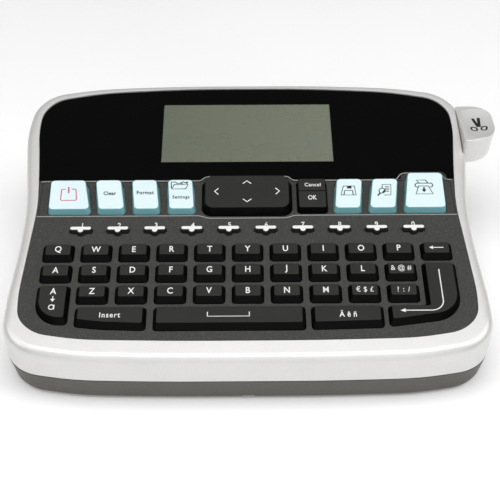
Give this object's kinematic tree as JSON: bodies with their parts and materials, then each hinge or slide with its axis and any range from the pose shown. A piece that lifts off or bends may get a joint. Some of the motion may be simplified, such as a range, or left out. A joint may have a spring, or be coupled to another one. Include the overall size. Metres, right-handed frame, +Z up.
{
  "type": "label maker",
  "caption": "Desktop label maker with a sloping keyboard, a display panel, a side cutter button, a rear cassette door and a thermal print mechanism inside.",
  "frame": {"origin": "on the table, under the middle of the whole object with its cutter button", "axes": "+X to the user's right, +Y from the front edge to the rear, +Z up"},
  "size_m": [0.2227, 0.159, 0.0602],
  "materials": {
    "dark_case_plastic": "fine moulded texture, satin",
    "silver_plastic": "pearl silver, satin",
    "deck_plastic": "fine spark texture, matt",
    "black_gloss_panel": "high gloss",
    "lcd_glass": "grey-green reflective display",
    "circuit_board": "green solder mask",
    "silicone": "matt",
    "battery_wrap": "shrink wrap, satin",
    "cassette_plastic": "moulded, satin",
    "head_ceramic": "ceramic on ground aluminium",
    "motor_steel": "plated",
    "foot_rubber": "matt",
    "screw_steel": "blackened",
    "white_button_plastic": "satin white",
    "blade_steel": "ground",
    "roller_rubber": "ground rubber on a steel shaft",
    "number_key_rubber": "white caps on dark rubber",
    "dark_key_plastic": "satin",
    "blue_key_plastic": "pale blue, satin"
  },
  "bodies": {
    "housing": {"bottom_case": "dark_case_plastic", "top_frame": "silver_plastic", "keyboard_deck": "deck_plastic", "display_window": "black_gloss_panel", "lcd_module": "lcd_glass", "main_board": "circuit_board", "key_mat": "silicone", "battery_pack": "battery_wrap", "tape_cassette": "cassette_plastic", "print_head": "head_ceramic", "drive_motor": "motor_steel", "rubber_feet": "foot_rubber", "case_screws": "screw_steel"},
    "cancel_ok_key": {"cancel_ok_key": "dark_key_plastic"},
    "cassette_door": {"cassette_door": "silver_plastic"},
    "cutter_blade": {"cutter_blade": "blade_steel"},
    "cutter_button": {"cutter_button": "white_button_plastic"},
    "key_a": {"key_a": "dark_key_plastic"},
    "key_accents": {"key_accents": "dark_key_plastic"},
    "key_b": {"key_b": "dark_key_plastic"},
    "key_backspace": {"key_backspace": "dark_key_plastic"},
    "key_c": {"key_c": "dark_key_plastic"},
    "key_caps": {"key_caps": "dark_key_plastic"},
    "key_clear": {"key_clear": "blue_key_plastic"},
    "key_d": {"key_d": "dark_key_plastic"},
    "key_e": {"key_e": "dark_key_plastic"},
    "key_enter": {"key_enter": "dark_key_plastic"},
    "key_f": {"key_f": "dark_key_plastic"},
    "key_format": {"key_format": "blue_key_plastic"},
    "key_g": {"key_g": "dark_key_plastic"},
    "key_h": {"key_h": "dark_key_plastic"},
    "key_i": {"key_i": "dark_key_plastic"},
    "key_insert": {"key_insert": "dark_key_plastic"},
    "key_j": {"key_j": "dark_key_plastic"},
    "key_k": {"key_k": "dark_key_plastic"},
    "key_l": {"key_l": "dark_key_plastic"},
    "key_m": {"key_m": "dark_key_plastic"},
    "key_n": {"key_n": "dark_key_plastic"},
    "key_o": {"key_o": "dark_key_plastic"},
    "key_p": {"key_p": "dark_key_plastic"},
    "key_power": {"key_power": "blue_key_plastic"},
    "key_preview": {"key_preview": "blue_key_plastic"},
    "key_print": {"key_print": "blue_key_plastic"},
    "key_q": {"key_q": "dark_key_plastic"},
    "key_r": {"key_r": "dark_key_plastic"},
    "key_s": {"key_s": "dark_key_plastic"},
    "key_save": {"key_save": "blue_key_plastic"},
    "key_settings": {"key_settings": "blue_key_plastic"},
    "key_space": {"key_space": "dark_key_plastic"},
    "key_t": {"key_t": "dark_key_plastic"},
    "key_u": {"key_u": "dark_key_plastic"},
    "key_v": {"key_v": "dark_key_plastic"},
    "key_w": {"key_w": "dark_key_plastic"},
    "key_x": {"key_x": "dark_key_plastic"},
    "key_y": {"key_y": "dark_key_plastic"},
    "key_z": {"key_z": "dark_key_plastic"},
    "navigation_pad": {"navigation_pad": "dark_key_plastic"},
    "number_keys": {"number_keys": "number_key_rubber"},
    "platen_roller": {"platen_roller": "roller_rubber"},
    "symbol_keys": {"symbol_keys": "dark_key_plastic"}
  },
  "joints": [
    {"name": "navigation_rock", "type": "hinge", "parent": "housing", "child": "navigation_pad", "pos_m": [-0.00725, 0.00646, 0.04101], "axis": [0, 0.9754, 0.2204], "range_deg": [-2, 2], "stiffness_Nm_per_rad": 2},
    {"name": "cancel_ok_rock", "type": "hinge", "parent": "housing", "child": "cancel_ok_key", "pos_m": [0.02215, 0.00627, 0.04096], "axis": [1, 0, 0], "range_deg": [-3, 3], "stiffness_Nm_per_rad": 1},
    {"name": "cutter_press", "type": "slide", "parent": "housing", "child": "cutter_button", "axis": [0, 0, -1], "range_m": [0, 0.006], "stiffness_N_per_m": 800, "springref_m": -0.002},
    {"name": "blade_swing", "type": "hinge", "parent": "housing", "child": "cutter_blade", "pos_m": [0.08935, 0.0545, 0.04], "axis": [1, 0, 0], "range_deg": [0, 24.5]},
    {"name": "door_hinge", "type": "hinge", "parent": "housing", "child": "cassette_door", "pos_m": [0.00035, 0.0777, 0.029], "axis": [0, 0, 1], "range_deg": [0, 88]},
    {"name": "platen_spin", "type": "hinge", "parent": "housing", "child": "platen_roller", "pos_m": [0.08275, 0.0424, 0.02], "axis": [0, 0, 1], "continuous": true},
    {"name": "number_keys_press", "type": "slide", "parent": "housing", "child": "number_keys", "axis": [0, 0.2204, -0.9754], "range_m": [0, 0.0012], "stiffness_N_per_m": 500, "springref_m": -0.0006},
    {"name": "key_clear_press", "type": "slide", "parent": "housing", "child": "key_clear", "axis": [0, 0.2204, -0.9754], "range_m": [0, 0.0012], "stiffness_N_per_m": 500, "springref_m": -0.0006},
    {"name": "key_format_press", "type": "slide", "parent": "housing", "child": "key_format", "axis": [0, 0.2204, -0.9754], "range_m": [0, 0.0012], "stiffness_N_per_m": 500, "springref_m": -0.0006},
    {"name": "key_power_press", "type": "slide", "parent": "housing", "child": "key_power", "axis": [0, 0.2204, -0.9754], "range_m": [0, 0.0012], "stiffness_N_per_m": 500, "springref_m": -0.0006},
    {"name": "key_preview_press", "type": "slide", "parent": "housing", "child": "key_preview", "axis": [0, 0.2204, -0.9754], "range_m": [0, 0.0012], "stiffness_N_per_m": 500, "springref_m": -0.0006},
    {"name": "key_print_press", "type": "slide", "parent": "housing", "child": "key_print", "axis": [0, 0.2204, -0.9754], "range_m": [0, 0.0012], "stiffness_N_per_m": 500, "springref_m": -0.0006},
    {"name": "key_save_press", "type": "slide", "parent": "housing", "child": "key_save", "axis": [0, 0.2204, -0.9754], "range_m": [0, 0.0012], "stiffness_N_per_m": 500, "springref_m": -0.0006},
    {"name": "key_settings_press", "type": "slide", "parent": "housing", "child": "key_settings", "axis": [0, 0.2204, -0.9754], "range_m": [0, 0.0012], "stiffness_N_per_m": 500, "springref_m": -0.0006},
    {"name": "key_a_press", "type": "slide", "parent": "housing", "child": "key_a", "axis": [0, 0.2204, -0.9754], "range_m": [0, 0.0012], "stiffness_N_per_m": 500, "springref_m": -0.0006},
    {"name": "key_accents_press", "type": "slide", "parent": "housing", "child": "key_accents", "axis": [0, 0.2204, -0.9754], "range_m": [0, 0.0012], "stiffness_N_per_m": 500, "springref_m": -0.0006},
    {"name": "key_b_press", "type": "slide", "parent": "housing", "child": "key_b", "axis": [0, 0.2204, -0.9754], "range_m": [0, 0.0012], "stiffness_N_per_m": 500, "springref_m": -0.0006},
    {"name": "key_backspace_press", "type": "slide", "parent": "housing", "child": "key_backspace", "axis": [0, 0.2204, -0.9754], "range_m": [0, 0.0012], "stiffness_N_per_m": 500, "springref_m": -0.0006},
    {"name": "key_c_press", "type": "slide", "parent": "housing", "child": "key_c", "axis": [0, 0.2204, -0.9754], "range_m": [0, 0.0012], "stiffness_N_per_m": 500, "springref_m": -0.0006},
    {"name": "key_caps_press", "type": "slide", "parent": "housing", "child": "key_caps", "axis": [0, 0.2204, -0.9754], "range_m": [0, 0.0012], "stiffness_N_per_m": 500, "springref_m": -0.0006},
    {"name": "key_d_press", "type": "slide", "parent": "housing", "child": "key_d", "axis": [0, 0.2204, -0.9754], "range_m": [0, 0.0012], "stiffness_N_per_m": 500, "springref_m": -0.0006},
    {"name": "key_e_press", "type": "slide", "parent": "housing", "child": "key_e", "axis": [0, 0.2204, -0.9754], "range_m": [0, 0.0012], "stiffness_N_per_m": 500, "springref_m": -0.0006},
    {"name": "key_enter_press", "type": "slide", "parent": "housing", "child": "key_enter", "axis": [0, 0.2204, -0.9754], "range_m": [0, 0.0012], "stiffness_N_per_m": 500, "springref_m": -0.0006},
    {"name": "key_f_press", "type": "slide", "parent": "housing", "child": "key_f", "axis": [0, 0.2204, -0.9754], "range_m": [0, 0.0012], "stiffness_N_per_m": 500, "springref_m": -0.0006},
    {"name": "key_g_press", "type": "slide", "parent": "housing", "child": "key_g", "axis": [0, 0.2204, -0.9754], "range_m": [0, 0.0012], "stiffness_N_per_m": 500, "springref_m": -0.0006},
    {"name": "key_h_press", "type": "slide", "parent": "housing", "child": "key_h", "axis": [0, 0.2204, -0.9754], "range_m": [0, 0.0012], "stiffness_N_per_m": 500, "springref_m": -0.0006},
    {"name": "key_i_press", "type": "slide", "parent": "housing", "child": "key_i", "axis": [0, 0.2204, -0.9754], "range_m": [0, 0.0012], "stiffness_N_per_m": 500, "springref_m": -0.0006},
    {"name": "key_insert_press", "type": "slide", "parent": "housing", "child": "key_insert", "axis": [0, 0.2204, -0.9754], "range_m": [0, 0.0012], "stiffness_N_per_m": 500, "springref_m": -0.0006},
    {"name": "key_j_press", "type": "slide", "parent": "housing", "child": "key_j", "axis": [0, 0.2204, -0.9754], "range_m": [0, 0.0012], "stiffness_N_per_m": 500, "springref_m": -0.0006},
    {"name": "key_k_press", "type": "slide", "parent": "housing", "child": "key_k", "axis": [0, 0.2204, -0.9754], "range_m": [0, 0.0012], "stiffness_N_per_m": 500, "springref_m": -0.0006},
    {"name": "key_l_press", "type": "slide", "parent": "housing", "child": "key_l", "axis": [0, 0.2204, -0.9754], "range_m": [0, 0.0012], "stiffness_N_per_m": 500, "springref_m": -0.0006},
    {"name": "key_m_press", "type": "slide", "parent": "housing", "child": "key_m", "axis": [0, 0.2204, -0.9754], "range_m": [0, 0.0012], "stiffness_N_per_m": 500, "springref_m": -0.0006},
    {"name": "key_n_press", "type": "slide", "parent": "housing", "child": "key_n", "axis": [0, 0.2204, -0.9754], "range_m": [0, 0.0012], "stiffness_N_per_m": 500, "springref_m": -0.0006},
    {"name": "key_o_press", "type": "slide", "parent": "housing", "child": "key_o", "axis": [0, 0.2204, -0.9754], "range_m": [0, 0.0012], "stiffness_N_per_m": 500, "springref_m": -0.0006},
    {"name": "key_p_press", "type": "slide", "parent": "housing", "child": "key_p", "axis": [0, 0.2204, -0.9754], "range_m": [0, 0.0012], "stiffness_N_per_m": 500, "springref_m": -0.0006},
    {"name": "key_q_press", "type": "slide", "parent": "housing", "child": "key_q", "axis": [0, 0.2204, -0.9754], "range_m": [0, 0.0012], "stiffness_N_per_m": 500, "springref_m": -0.0006},
    {"name": "key_r_press", "type": "slide", "parent": "housing", "child": "key_r", "axis": [0, 0.2204, -0.9754], "range_m": [0, 0.0012], "stiffness_N_per_m": 500, "springref_m": -0.0006},
    {"name": "key_s_press", "type": "slide", "parent": "housing", "child": "key_s", "axis": [0, 0.2204, -0.9754], "range_m": [0, 0.0012], "stiffness_N_per_m": 500, "springref_m": -0.0006},
    {"name": "key_space_press", "type": "slide", "parent": "housing", "child": "key_space", "axis": [0, 0.2204, -0.9754], "range_m": [0, 0.0012], "stiffness_N_per_m": 500, "springref_m": -0.0006},
    {"name": "key_t_press", "type": "slide", "parent": "housing", "child": "key_t", "axis": [0, 0.2204, -0.9754], "range_m": [0, 0.0012], "stiffness_N_per_m": 500, "springref_m": -0.0006},
    {"name": "key_u_press", "type": "slide", "parent": "housing", "child": "key_u", "axis": [0, 0.2204, -0.9754], "range_m": [0, 0.0012], "stiffness_N_per_m": 500, "springref_m": -0.0006},
    {"name": "key_v_press", "type": "slide", "parent": "housing", "child": "key_v", "axis": [0, 0.2204, -0.9754], "range_m": [0, 0.0012], "stiffness_N_per_m": 500, "springref_m": -0.0006},
    {"name": "key_w_press", "type": "slide", "parent": "housing", "child": "key_w", "axis": [0, 0.2204, -0.9754], "range_m": [0, 0.0012], "stiffness_N_per_m": 500, "springref_m": -0.0006},
    {"name": "key_x_press", "type": "slide", "parent": "housing", "child": "key_x", "axis": [0, 0.2204, -0.9754], "range_m": [0, 0.0012], "stiffness_N_per_m": 500, "springref_m": -0.0006},
    {"name": "key_y_press", "type": "slide", "parent": "housing", "child": "key_y", "axis": [0, 0.2204, -0.9754], "range_m": [0, 0.0012], "stiffness_N_per_m": 500, "springref_m": -0.0006},
    {"name": "key_z_press", "type": "slide", "parent": "housing", "child": "key_z", "axis": [0, 0.2204, -0.9754], "range_m": [0, 0.0012], "stiffness_N_per_m": 500, "springref_m": -0.0006},
    {"name": "symbol_keys_press", "type": "slide", "parent": "housing", "child": "symbol_keys", "axis": [0, 0.2204, -0.9754], "range_m": [0, 0.0012], "stiffness_N_per_m": 500, "springref_m": -0.0006}
  ],
  "couplings": [
    {"joint": "blade_swing", "follows": "cutter_press", "rad_per_m": 71}
  ]
}
